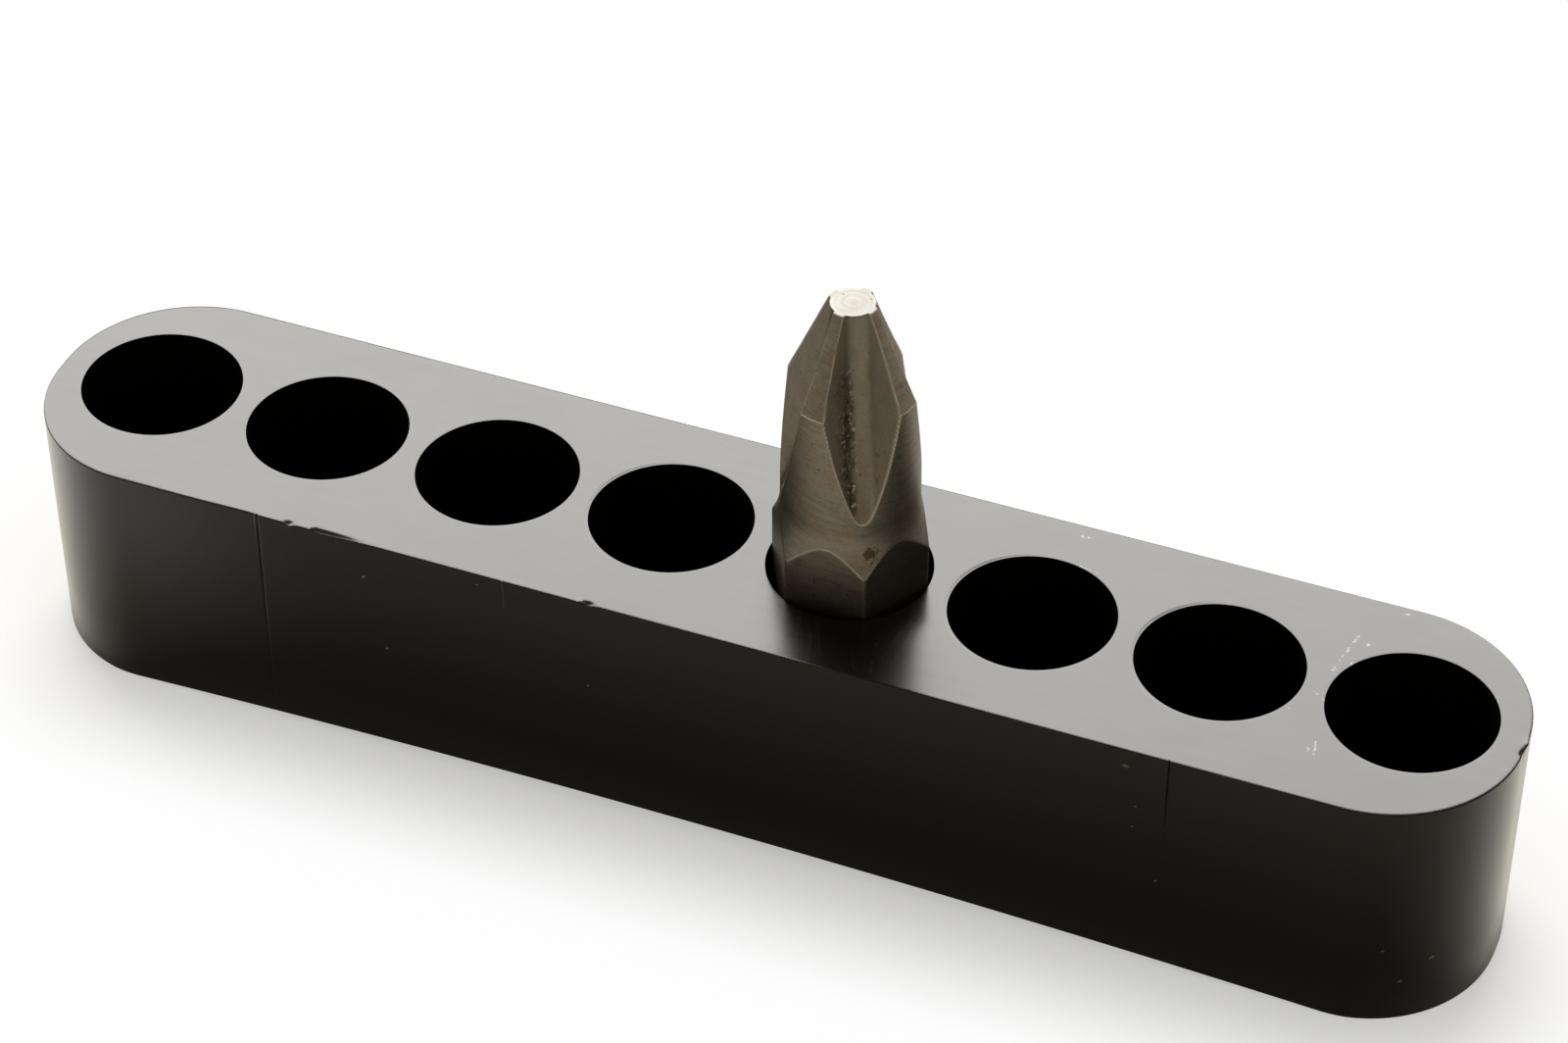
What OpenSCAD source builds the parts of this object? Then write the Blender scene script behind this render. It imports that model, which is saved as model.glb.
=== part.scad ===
// A moulded block that stores short screwdriver bits in a row of round sockets, with one bit standing in it.
// Millimetres. The block stands on z = 0, its length runs along X, and the origin is under its middle.

/* [Sockets] */
// Number of sockets in the row
socket_count = 8; // [5:1:12]
// Gap between a bit's corner edges and the socket's wall, all round
socket_clearance = 0.07; // [0.05:0.01:0.3]
// Plastic left between two neighbouring sockets
socket_web = 1.1; // [0.8:0.1:4]
// Width of the small chamfer round a socket's mouth
mouth_chamfer = 0.1; // [0.05:0.05:0.3]

/* [Block] */
// Plastic between a socket and the front face
front_wall = 3.05; // [2:0.05:6]
// Plastic between a socket and the back face
back_wall = 2.65; // [2:0.05:6]
// Plastic between the outermost socket and the end of the block
end_wall = 1.3; // [1:0.1:4]
// Straight stretch in the middle of each rounded end
end_flat = 0.7; // [0.2:0.1:5]
// Height of the block, from the surface that it stands on to its top face
block_height = 12.2; // [11:0.1:16]
// Plastic between a socket's flat floor and the underside below it
floor_thickness = 1; // [0.8:0.1:3]
// Rise of the underside midway along the block
underside_rise = 0.7; // [0.1:0.1:1]
// Length of the flat stretch at each end that the block stands on
foot_length = 5; // [3:0.5:12]

/* [Bit] */
// Socket that the bit stands in, counted from the left
bit_socket = 5; // [1:1:5]
// Turn of the bit in its socket, in degrees
bit_turn = 1; // [-30:1:30]
// Length of the bit
bit_length = 25; // [22:0.5:30]
// Width of the hexagon shank across its flats
shank_flats = 6.35; // [6:0.05:8]
// Amount by which each corner edge of the hexagon is rounded off
corner_break = 0.04; // [0.02:0.01:0.1]
// Length of the shank, up to where its corners begin to slope in
shank_length = 12.7; // [11:0.1:14]
// Height of the slope from the shank's corners to the neck
shank_chamfer = 1.25; // [0.8:0.05:2]
// Height of the chamfer at the bit's foot
foot_chamfer = 0.6; // [0.2:0.1:1.5]
// Amount by which the foot of the neck is slimmer than the hexagon's flats
neck_step = 0.05; // [0.02:0.01:0.5]
// Diameter over the shoulders of the wings
shoulder_diameter = 6; // [5:0.1:6]

/* [Cross point] */
// Height of the pointed part, from the shoulders to the tip
point_length = 4.35; // [3.5:0.05:5.5]
// Diameter of the flat tip
tip_diameter = 2; // [1.8:0.1:2.6]
// Number of flutes round the point
flute_count = 4; // [4:1:4]
// Depth of a flute at the tip
flute_tip_depth = 0.3; // [0.2:0.05:0.4]
// Angle of each flute wall from the flute's middle plane, in degrees
flute_wall_angle = 54; // [48:1:58]
// Lean of the flute's floor away from the bit's axis at the tip, in degrees
flute_lean = 6.5; // [5:0.5:8]
// Radius of the wheel that cuts the flutes
wheel_radius = 40; // [35:1:60]
// Radius of the round nose of that wheel's rim, which shapes the flute's floor
wheel_nose = 0.8; // [0.5:0.05:1.2]

/* [Hidden] */

// Facets of round shapes: a small one, and a shallow arc that needs many
round_facets = 96;
arc_facets = 720;
// Steps that make up the round nose of the wheel
nose_steps = 6;
// Extra length of a cutting shape beyond the face that it cuts
overcut = 1;

// The shank's corner edges, as a radius, and the sockets that clear them
hexagon_sides = 6;
hexagon_radius = shank_flats / 2 / cos(180 / hexagon_sides);
corner_radius = hexagon_radius - corner_break;
socket_radius = corner_radius + socket_clearance;
socket_pitch = 2 * socket_radius + socket_web;

// The block round the sockets
row_length = (socket_count - 1) * socket_pitch;
block_length = row_length + 2 * socket_radius + 2 * end_wall;
block_width = 2 * socket_radius + front_wall + back_wall;
end_radius = (block_width - end_flat) / 2;
row_y = (front_wall - back_wall) / 2;

// The underside's long arc, which spans from foot to foot
arch_span = block_length - 2 * foot_length;
arch_radius = (pow(arch_span / 2, 2) + pow(underside_rise, 2)) / (2 * underside_rise);

// Heights and radii of the bit, from its foot
shoulder_z = bit_length - point_length;
shoulder_radius = shoulder_diameter / 2;
neck_z = shank_length + shank_chamfer;
neck_radius = (shank_flats - neck_step) / 2;
tip_radius = tip_diameter / 2;
foot_radius = corner_radius - foot_chamfer;

// The flute-cutting wheel: its rim meets the flute's floor at the tip, and it is deeper than any flute
floor_radius = tip_radius - flute_tip_depth;
wheel_depth = corner_radius;
wheel_x = floor_radius + wheel_radius * cos(flute_lean);
wheel_z = bit_length + wheel_radius * sin(flute_lean);
// The first flute lies over a corner of the hexagon, here at -60 degrees
first_flute = -360 / hexagon_sides;

// Centre of a socket along the row, counted from 1 at the left
function socket_x(number) = (number - (socket_count + 1) / 2) * socket_pitch;
// Height of the arched underside at a place along the block, zero at the feet
function arch_z(x) = underside_rise - arch_radius + sqrt(pow(arch_radius, 2) - pow(x, 2));
function underside_z(x) = abs(x) < arch_span / 2 ? arch_z(x) : 0;
// Height of a socket's floor: the same thickness of plastic is left under each
function socket_floor_z(number) = underside_z(socket_x(number)) + floor_thickness;

// Plan of the block: straight sides and ends, joined by four quarter circles
module block_plan() {
    square([block_length - 2 * end_radius, block_width], center = true);
    square([block_length, end_flat], center = true);
    for (side_x = [-1, 1], side_y = [-1, 1])
        translate([side_x * (block_length / 2 - end_radius), side_y * end_flat / 2])
            circle(r = end_radius, $fn = round_facets);
}

// The space of one socket, from its floor up through its chamfered mouth
module socket_space(number) {
    mouth_radius = socket_radius + mouth_chamfer;
    translate([socket_x(number), row_y, 0])
        rotate_extrude($fn = round_facets)
            polygon([
                [0, socket_floor_z(number)],
                [socket_radius, socket_floor_z(number)],
                [socket_radius, block_height - mouth_chamfer],
                [mouth_radius, block_height],
                [mouth_radius, block_height + overcut],
                [0, block_height + overcut]
            ]);
}

// The shallow hollow under the block, one long arc between its two feet
module underside_space() {
    translate([0, 0, underside_rise - arch_radius])
        rotate([90, 0, 0])
            cylinder(r = arch_radius, h = block_width + 2 * overcut, center = true, $fn = arc_facets);
}

// The moulded block with its sockets
module holder() {
    color([0.10, 0.10, 0.09])
        difference() {
            linear_extrude(height = block_height) block_plan();
            underside_space();
            for (number = [1 : socket_count]) socket_space(number);
        }
}

// The bit as it leaves the lathe: foot, shank, neck, shoulders and point, turned about one axis
module turned_bit() {
    rotate_extrude($fn = round_facets)
        polygon([
            [0, 0],
            [foot_radius, 0],
            [corner_radius, foot_chamfer],
            [corner_radius, shank_length],
            [neck_radius, neck_z],
            [shoulder_radius, shoulder_z],
            [tip_radius, bit_length],
            [0, bit_length]
        ]);
}

// The hexagon bar that the bit is made from
module hexagon_bar() {
    linear_extrude(height = bit_length) circle(r = hexagon_radius, $fn = hexagon_sides);
}

// Rim of the flute-cutting wheel: a round nose, in short steps, that runs into two sloping sides
module wheel_rim() {
    nose_x = wheel_radius - wheel_nose;
    nose_end = 90 - flute_wall_angle;
    side_x = wheel_radius - wheel_depth;
    side_run = nose_x + wheel_nose * cos(nose_end) - side_x;
    side_y = wheel_nose * sin(nose_end) + side_run * tan(flute_wall_angle);
    nose_turns = [for (step = [0 : nose_steps]) (2 * step / nose_steps - 1) * nose_end];
    polygon([
        [side_x, -side_y],
        for (turn = nose_turns) [nose_x + wheel_nose * cos(turn), wheel_nose * sin(turn)],
        [side_x, side_y]
    ]);
}

// The wheel that cuts one flute, turned about an axis across the bit. It leaves the bit again at the lower
// end of the flute, which gives the flute its leaf-shaped outline.
module flute_wheel() {
    translate([wheel_x, 0, wheel_z])
        rotate([90, 0, 0])
            rotate_extrude($fn = arc_facets) wheel_rim();
}

// The finished bit: hexagon bar turned to shape, with its flutes cut, standing on the floor of its socket
module driver_bit() {
    color([0.42, 0.38, 0.32])
        translate([socket_x(bit_socket), row_y, socket_floor_z(bit_socket)])
            rotate([0, 0, bit_turn])
                difference() {
                    intersection() {
                        turned_bit();
                        hexagon_bar();
                    }
                    for (number = [0 : flute_count - 1])
                        rotate([0, 0, first_flute + number * 360 / flute_count]) flute_wheel();
                }
}

holder();
driver_bit();
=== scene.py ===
# %% [markdown]
# # A moulded bit holder with one screwdriver bit
# The object is a small block of black plastic with a row of eight round sockets. One steel bit
# stands in the fifth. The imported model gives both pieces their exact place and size. This script
# builds finer meshes in the same places, gives them plastic and steel, and lights them like a
# small object on a bright sheet.

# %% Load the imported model
import math
from types import SimpleNamespace

import bpy
import numpy as np
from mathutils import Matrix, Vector
from mathutils.geometry import delaunay_2d_cdt


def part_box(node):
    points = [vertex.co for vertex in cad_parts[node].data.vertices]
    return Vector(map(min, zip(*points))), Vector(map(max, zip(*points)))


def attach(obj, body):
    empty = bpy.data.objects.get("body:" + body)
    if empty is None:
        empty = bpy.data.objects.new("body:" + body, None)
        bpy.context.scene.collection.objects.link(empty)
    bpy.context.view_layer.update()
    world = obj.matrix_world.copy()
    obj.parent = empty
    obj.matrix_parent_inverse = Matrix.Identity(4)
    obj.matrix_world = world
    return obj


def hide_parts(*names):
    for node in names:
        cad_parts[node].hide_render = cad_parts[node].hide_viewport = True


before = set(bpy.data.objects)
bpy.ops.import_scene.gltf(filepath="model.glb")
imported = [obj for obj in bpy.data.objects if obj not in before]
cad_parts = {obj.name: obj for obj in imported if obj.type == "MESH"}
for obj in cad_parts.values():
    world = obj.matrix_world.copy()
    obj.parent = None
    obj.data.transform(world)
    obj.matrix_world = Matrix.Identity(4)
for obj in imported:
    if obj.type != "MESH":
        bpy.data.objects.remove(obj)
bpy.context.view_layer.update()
scene = bpy.context.scene
MM = 0.001


# %% [markdown]
# ## The sizes that the meshes share
# A mesh that stands in for a solid has to lie exactly where the solid is. So the outer sizes are
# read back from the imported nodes' boxes. The few others are written once here, in millimetres, as
# the maker's drawing would give them, and the rest is worked out from them.

# %% Sizes of the block
block_low, block_high = (np.array(corner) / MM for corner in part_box("holder"))
LENGTH, WIDTH, HEIGHT = block_high - block_low
END_FLAT = 0.7
END_RADIUS = (WIDTH - END_FLAT) / 2
STRAIGHT = LENGTH / 2 - END_RADIUS

SOCKETS = 8
SOCKET_RADIUS = 3.6962
SOCKET_PITCH = 8.4923
ROW_Y = 0.2
FLOOR_THICKNESS = 1.0

# The underside is one long arc between two flat feet
FOOT_LENGTH = 5.0
UNDERSIDE_RISE = 0.7
ARCH_SPAN = LENGTH - 2 * FOOT_LENGTH
ARCH_RADIUS = ((ARCH_SPAN / 2) ** 2 + UNDERSIDE_RISE**2) / (2 * UNDERSIDE_RISE)


def underside_z(x):
    reach = np.minimum(np.abs(x), ARCH_SPAN / 2)
    arch = UNDERSIDE_RISE - ARCH_RADIUS + np.sqrt(ARCH_RADIUS**2 - reach**2)
    return np.where(np.abs(x) < ARCH_SPAN / 2, arch, 0.0)


def socket_x(number):
    return (number - (SOCKETS + 1) / 2) * SOCKET_PITCH


def socket_bottom(number):
    return float(underside_z(socket_x(number))) + FLOOR_THICKNESS


print("block", np.round([LENGTH, WIDTH, HEIGHT], 3), "first socket at", round(socket_x(1), 3))

# %% Sizes of the bit
BIT_SOCKET = 5
BIT_X = socket_x(BIT_SOCKET)
bit_low, bit_high = (np.array(corner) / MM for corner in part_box("driver_bit"))
BIT_Z = bit_low[2]
BIT_LENGTH = bit_high[2] - bit_low[2]
TIP_Z = BIT_Z + BIT_LENGTH
print("bit at", round(BIT_X, 3), "from", round(BIT_Z, 3), "to", round(TIP_Z, 3))

# %% [markdown]
# ## From numbers to a mesh
# Both pieces are worked out with numpy in millimetres, as a list of points and a list of faces.
# One helper turns such lists into an object in metres. It smooths the shading and leaves it sharp
# at real edges, which is how a ground or moulded surface looks.

# %% Helper that makes an object
def make_piece(name, points, faces, sharp_degrees=35):
    mesh = bpy.data.meshes.new(name)
    corners = [tuple(point) for point in np.asarray(points, float) * MM]
    mesh.from_pydata(corners, [], [tuple(face) for face in faces])
    mesh.validate()
    mesh.update()
    mesh.polygons.foreach_set("use_smooth", [True] * len(mesh.polygons))
    mesh.set_sharp_from_angle(angle=math.radians(sharp_degrees))
    piece = bpy.data.objects.new(name, mesh)
    scene.collection.objects.link(piece)
    triangles = sum(len(face.vertices) - 2 for face in mesh.polygons)
    print(f"{name}: {len(mesh.vertices)} points, {triangles} triangles")
    return piece


# %% [markdown]
# ## The block's outline
# Seen from above, the block is a long bar with half-round ends. Its outline is a closed row of
# points, each with the direction in which the wall faces there. The real front edge has small
# marks, and a bump map can't change an outline, so points are moved for them. The outline is
# sampled finely where a mark is, and coarsely where it is plain.

# %% Outline of the block
# Stretches of the front with a mark: start, end, and distance between points
MARKED = [
    (-22.0, -21.6, 0.06),
    (-21.6, -21.25, 0.02),
    (-21.25, -19.0, 0.05),
    (-19.0, -18.5, 0.025),
    (-18.5, -15.4, 0.06),
    (-9.6, -9.25, 0.03),
    (-5.9, -4.8, 0.04),
    (21.0, 21.35, 0.02),
]
PLAIN_STEP = 0.5


def spaced(start, end, step):
    """Even stops from start to end, no further apart than step, without the end itself."""
    count = max(2, int(math.ceil(abs(end - start) / step)) + 1)
    return np.linspace(start, end, count)[:-1]


def front_edge_x():
    stops, here = [], -STRAIGHT
    for start, end, step in MARKED:
        if start > here:
            stops.append(spaced(here, start, PLAIN_STEP))
        stops.append(spaced(start, end, step))
        here = end
    stops.append(spaced(here, STRAIGHT, PLAIN_STEP))
    return np.concatenate(stops)


def quarter_round(centre_x, centre_y, start, step):
    rows = []
    for turn in spaced(start, start + math.pi / 2, step):
        nx, ny = math.cos(turn), math.sin(turn)
        rows.append((centre_x + END_RADIUS * nx, centre_y + END_RADIUS * ny, nx, ny))
    return rows


def block_outline():
    side, flat, quarter = WIDTH / 2, END_FLAT / 2, math.pi / 2
    rows = [(x, -side, 0.0, -1.0) for x in front_edge_x()]
    rows += quarter_round(STRAIGHT, -flat, -quarter, 0.02)
    rows += [(LENGTH / 2, y, 1.0, 0.0) for y in spaced(-flat, flat, 0.1)]
    rows += quarter_round(STRAIGHT, flat, 0.0, 0.05)
    rows += [(x, side, 0.0, 1.0) for x in spaced(STRAIGHT, -STRAIGHT, 0.7)]
    rows += quarter_round(-STRAIGHT, flat, quarter, 0.05)
    rows += [(-LENGTH / 2, y, -1.0, 0.0) for y in spaced(flat, -flat, 0.2)]
    rows += quarter_round(-STRAIGHT, -flat, 2 * quarter, 0.05)
    return np.array(rows)


outline = block_outline()
print("outline points:", len(outline))

# %% [markdown]
# ## Marks of the mould and of use
# Along its front edge the block has a small step where two parts of the mould met, two little
# knocks with burrs, and a dent that tapers off to the right. At the right end a chip is missing
# beside a small torn bump. The two thin upright lines on the front wall are where inserts of the
# mould met: shallow grooves that fade further down. Each mark is a small move of the wall, out
# along its normal and up, and each fades with the depth below the top. In the sums below, a mark
# is its size in millimetres, times its shape along the wall, times that fading.

# %% Moves of the wall at each mark
LEFT_LINE, RIGHT_LINE = -21.42, 21.16
LEFT_KNOCK, RIGHT_KNOCK = -19.85, -5.35
LEFT_BURR, RIGHT_BURR = -18.72, -5.75
SMALL_BUMP = -9.42
CHIP_Y, TORN_Y = -0.50, 0.12


def hump(x, middle, width):
    """One at the middle, falling to nothing within about two widths."""
    return np.exp(-(((x - middle) / width) ** 2))


def ramp(x, start, end):
    """Nothing before start, one after end, with a smooth rise between them."""
    t = np.clip((x - start) / (end - start), 0.0, 1.0)
    return t * t * (3 - 2 * t)


def dent(x):
    """Shape of the long dent, which starts steeply and tapers off to the right."""
    return ramp(x, -18.75, -18.60) * (1 - ramp(x, -18.3, -15.6))


def front_out(x, depth):
    """How far the front wall stands out, at places along it and a depth below the top."""
    rolled_over = np.exp(-((depth / 0.16) ** 4))
    mould_step = ramp(x, -25.0, -21.9) * (1 - ramp(x, -21.60, -21.45))
    out = -0.075 * hump(x, LEFT_LINE, 0.055) * (1 - 0.95 * ramp(depth, 2.0, 9.0))
    out -= 0.060 * hump(x, RIGHT_LINE, 0.035) * (1 - ramp(depth, 3.5, 4.6))
    out -= 0.055 * mould_step * np.exp(-depth / 1.6)
    out += 0.060 * hump(x, LEFT_KNOCK, 0.30) * np.exp(-depth / 0.12)
    out += 0.020 * (dent(x) + hump(x, RIGHT_KNOCK, 0.30)) * rolled_over
    out += 0.030 * hump(x, SMALL_BUMP, 0.05) * np.exp(-depth / 0.5)
    return out


def front_up(x):
    """How far the edge of the top rises at the burrs and falls at the knocks and the dent."""
    burrs = 0.050 * hump(x, LEFT_BURR, 0.07) + 0.030 * hump(x, RIGHT_BURR, 0.08)
    knocks = 0.060 * hump(x, LEFT_KNOCK, 0.22) + 0.070 * hump(x, RIGHT_KNOCK, 0.26)
    return burrs - knocks - 0.075 * dent(x)


def wall_moves(x, y, depth):
    """Moves out and up at a depth below the top, for each point of the outline."""
    front = y < -WIDTH / 2 + 0.01
    chip = (x > STRAIGHT) * hump(y, CHIP_Y, 0.20)
    torn = (x > STRAIGHT) * hump(y, TORN_Y, 0.22)
    out = front * front_out(x, depth)
    out += 0.08 * torn * np.exp(-depth / 0.22) - 0.05 * chip * np.exp(-depth / 0.35)
    up = front * front_up(x) + 0.030 * torn - 0.045 * chip
    return out, up * np.exp(-depth / 0.10)


edge_out, edge_up = wall_moves(outline[:, 0], outline[:, 1], 0.0)
print("moves out", np.round([edge_out.min(), edge_out.max()], 3))
print("moves up", np.round([edge_up.min(), edge_up.max()], 3))

# %% [markdown]
# ## Walls and rounded edges
# The mould leaves edges that look sharp but are rounded by a few hundredths of a millimetre. That
# tiny rounding catches a thin line of light, so it's built: rings of points run from the top face
# over the rounded edge, down the wall and round the lower edge. The rings of the top beside the
# edge stay flat apart from the last two, so that a mark doesn't crease the face.

# %% Rings of the block's skin
EDGE_ROUND = 0.07
LOWER_EDGE_ROUND = 0.12
WALL_DEPTHS = (0.11, 0.16, 0.24, 0.38, 0.6, 0.9, 1.4, 2.2, 3.4, 5.0, 7.0, 9.0)
# Rings of the top: distance from the wall, and share of the edge's rise or fall
TOP_RINGS = ((0.80, 0.0), (0.50, 0.0), (0.30, 0.0), (0.20, 0.15), (0.16, 0.5))


def rounded_edge(radius, count=4):
    """Steps round an edge: distance from the wall, and distance from the flat face."""
    turns = np.linspace(0, math.pi / 2, count)
    return [(radius * (1 - math.sin(t)), radius * (1 - math.cos(t))) for t in turns]


def block_rings():
    x, y, nx, ny = outline.T

    def ring(shift, z):
        return np.c_[x + nx * shift, y + ny * shift, z]

    rings = [ring(-inset, HEIGHT + edge_up * share) for inset, share in TOP_RINGS]
    for inset, depth in rounded_edge(EDGE_ROUND) + [(0.0, depth) for depth in WALL_DEPTHS]:
        out, up = wall_moves(x, y, depth)
        rings.append(ring(out - inset, HEIGHT - depth + up))
    out, _ = wall_moves(x, y, HEIGHT)
    for inset, rise in reversed(rounded_edge(LOWER_EDGE_ROUND)):
        rings.append(ring(out - inset, underside_z(x) + rise))
    return rings


print("rings of the block:", len(block_rings()))

# %% [markdown]
# ## Sockets
# Each socket is a blind bore with a flat floor. Its mouth has a narrow and almost flat chamfer, and
# the left rims of three mouths are worn down a little, where bits were pushed in and out. The
# rings of a socket run from a rim that lies in the flat top, over the mouth and down to the floor.

# %% Rings of a socket
AROUND = 160
MOUTH_CHAMFER = 0.1
MOUTH_RADIUS = SOCKET_RADIUS + MOUTH_CHAMFER
RIM_RADIUS = MOUTH_RADIUS + 0.12
# Mouth's edge: distance outside the bore, and depth below the top
MOUTH_EDGE = ((0.022, 0.004), (0.006, 0.018), (0.0, 0.05))
WORN_SOCKETS = (4, 6, 7)
WORN_DEPTH = 0.010


def socket_profile(bottom):
    profile = [(RIM_RADIUS, HEIGHT), (MOUTH_RADIUS + 0.02, HEIGHT), (MOUTH_RADIUS, HEIGHT - 0.0004)]
    profile += [(SOCKET_RADIUS + extra, HEIGHT - depth) for extra, depth in MOUTH_EDGE]
    profile += [(SOCKET_RADIUS, z) for z in np.linspace(HEIGHT - 0.6, bottom + 0.2, 7)]
    profile += [(SOCKET_RADIUS - 0.06, bottom + 0.06), (SOCKET_RADIUS - 0.2, bottom)]
    return profile + [(SOCKET_RADIUS * 0.5, bottom)]


def socket_rings(number):
    turns = np.linspace(0, 2 * math.pi, AROUND, endpoint=False)
    across, along = np.cos(turns), np.sin(turns)
    worn = WORN_DEPTH * np.clip(-across - 0.2, 0.0, 1.0) * (number in WORN_SOCKETS)
    rings = []
    for radius, z in socket_profile(socket_bottom(number)):
        x, y = socket_x(number) + radius * across, ROW_Y + radius * along
        rings.append(np.c_[x, y, z - worn * (radius == MOUTH_RADIUS)])
    return rings


print("socket bottoms:", [round(socket_bottom(number), 2) for number in range(1, SOCKETS + 1)])

# %% [markdown]
# ## Faces
# Rings that follow each other are joined by four-sided faces. A flat face with holes can't be made
# that way, so it is filled with triangles that keep the outline and the circles as edges. Such a
# filling covers the holes too, so each triangle with its middle in a hole is thrown away.

# %% Faces between rings and over flat faces
def bridge(first, second, count, flip=False):
    faces = []
    for i in range(count):
        j = (i + 1) % count
        face = (first + i, second + i, second + j, first + j)
        faces.append(face[::-1] if flip else face)
    return faces


def inside(loop, point):
    x, y = loop.T
    next_x, next_y = np.roll(x, -1), np.roll(y, -1)
    crosses = (y > point.y) != (next_y > point.y)
    with np.errstate(divide="ignore", invalid="ignore"):
        crossing_x = x + (point.y - y) / (next_y - y) * (next_x - x)
    return bool(np.count_nonzero(crosses & (point.x < crossing_x)) % 2)


def fill_flat(loops, holes=(), extra=()):
    """Triangles inside the first loop and outside the holes, with the points that they use."""
    flat, edges = [], []
    for loop in loops:
        start, count = len(flat), len(loop)
        flat += [Vector((float(p[0]), float(p[1]))) for p in loop]
        edges += [(start + i, start + (i + 1) % count) for i in range(count)]
    flat += [Vector(p) for p in extra]
    points, _, faces, origins, _, _ = delaunay_2d_cdt(flat, edges, [], 0, 1e-5)
    outer = np.array([(p[0], p[1]) for p in loops[0]])
    kept = []
    for face in faces:
        middle = sum((points[i] for i in face), Vector((0, 0))) / len(face)
        in_hole = any((middle - Vector(centre)).length <= radius for centre, radius in holes)
        if inside(outer, middle) and not in_hole:
            kept.append(face)
    return points, kept, origins


def weld(points, flat, origins, known, height):
    """Numbers of a filled face's points: the known ones keep theirs, and new ones are added."""
    numbers = []
    for point, origin in zip(flat, origins):
        if origin and origin[0] < len(known):
            numbers.append(known[origin[0]])
        else:
            numbers.append(len(points))
            points.append((point.x, point.y, height(point.x)))
    return numbers


# %% Parts of the block's mesh
def add_rings(points, faces, rings, flip=False):
    """Adds rings and the faces between them, and gives the number of each ring's first point."""
    starts = []
    for ring in rings:
        starts.append(len(points))
        points += list(ring)
    for first, second in zip(starts, starts[1:]):
        faces += bridge(first, second, len(rings[0]), flip)
    return starts


def add_socket(points, faces, number):
    """One socket down to its floor. Gives the number of its rim's first point."""
    starts = add_rings(points, faces, socket_rings(number), flip=True)
    centre, last = len(points), starts[-1]
    points.append((socket_x(number), ROW_Y, socket_bottom(number)))
    faces += [(last + i, last + (i + 1) % AROUND, centre) for i in range(AROUND)]
    return starts[0]


def add_top(points, faces, border, rims):
    """The flat top between the ring at its border and the rims of the sockets."""
    spans = [(border, len(outline))] + [(rim, AROUND) for rim in rims]
    known = [start + i for start, count in spans for i in range(count)]
    loops = [points[start : start + count] for start, count in spans]
    just_inside = RIM_RADIUS - 0.001
    holes = [((socket_x(number), ROW_Y), just_inside) for number in range(1, SOCKETS + 1)]
    flat, filled, origins = fill_flat(loops, holes)
    numbers = weld(points, flat, origins, known, lambda x: HEIGHT)
    faces += [tuple(numbers[i] for i in face) for face in filled]


def add_underside(points, faces, border):
    """The underside, with a grid of points in it so that its triangles follow the long arc."""
    count = len(outline)
    grid = [(x, y) for x in np.arange(-32, 32.1, 2.0) for y in (-3.0, 0.0, 3.0)]
    flat, filled, origins = fill_flat([points[border : border + count]], extra=grid)
    known = range(border, border + count)
    numbers = weld(points, flat, origins, known, lambda x: float(underside_z(x)))
    faces += [tuple(numbers[i] for i in reversed(face)) for face in filled]


# %% Build the block
def build_block():
    points, faces = [], []
    starts = add_rings(points, faces, block_rings())
    rims = [add_socket(points, faces, number) for number in range(1, SOCKETS + 1)]
    add_top(points, faces, starts[0], rims)
    add_underside(points, faces, starts[-1])
    return make_piece("holder_block", points, faces, sharp_degrees=28)


block = build_block()
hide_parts("holder")
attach(block, "root")

# %% [markdown]
# ## The bit
# The bit is turned and ground from hexagon bar, and four flutes are cut by the rim of a large
# wheel. Every one of those cuts can be written as a distance from the bit's axis, in a given
# direction and at a given height, and the surface is the nearest of them. So the mesh is a fine
# grid wrapped round the axis, and each point is moved in to the nearest cut. Where two cuts meet,
# a smooth minimum rounds the edge by a few hundredths of a millimetre, as tumbling or use does.

# %% Turned shape and hexagon
SHANK_FLATS = 6.35
CORNER_BREAK = 0.04
CORNER_RADIUS = SHANK_FLATS / 2 / math.cos(math.pi / 6) - CORNER_BREAK
FOOT_CHAMFER = 0.6
SHANK_LENGTH = 12.7
NECK_Z, NECK_RADIUS = 13.90, 3.07
SHOULDER_Z, SHOULDER_RADIUS = 20.65, 3.0
TIP_RADIUS = 1.10
TURNED_Z = (0.0, FOOT_CHAMFER, SHANK_LENGTH, NECK_Z, SHOULDER_Z, BIT_LENGTH)
TURNED_RADII = (
    CORNER_RADIUS - FOOT_CHAMFER,
    CORNER_RADIUS,
    CORNER_RADIUS,
    NECK_RADIUS,
    SHOULDER_RADIUS,
    TIP_RADIUS,
)
# Kinks of the turned outline that are softened, and how far to each side
SOFTENED = ((NECK_Z, 0.90), (SHOULDER_Z, 0.04))
BIT_TURN = math.radians(1.0)


def smooth_min(a, b, soft):
    """The lesser of two distances, with a rounding where they differ by less than soft."""
    h = np.maximum(soft - np.abs(a - b), 0.0) / soft
    return np.minimum(a, b) - h * h * soft / 4


def turned_reach(z):
    """Distance from the axis to the turned outline, with its kinks softened."""

    def outline_at(height):
        return np.interp(height, TURNED_Z, TURNED_RADII)

    reach, probe = outline_at(z), 0.5
    for kink, soft in SOFTENED:
        before = (outline_at(kink) - outline_at(kink - probe)) / probe
        after = (outline_at(kink + probe) - outline_at(kink)) / probe
        t = np.clip(1 - np.abs(z - kink) / soft, 0.0, 1.0)
        reach = reach + (after - before) * soft * t * t / 4
    return reach


def hexagon_reach(turn):
    """Distance from the axis to the hexagon bar's nearest flat."""
    folded = np.mod(turn - BIT_TURN, math.pi / 3) - math.pi / 6
    return SHANK_FLATS / 2 / np.cos(folded)


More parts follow.
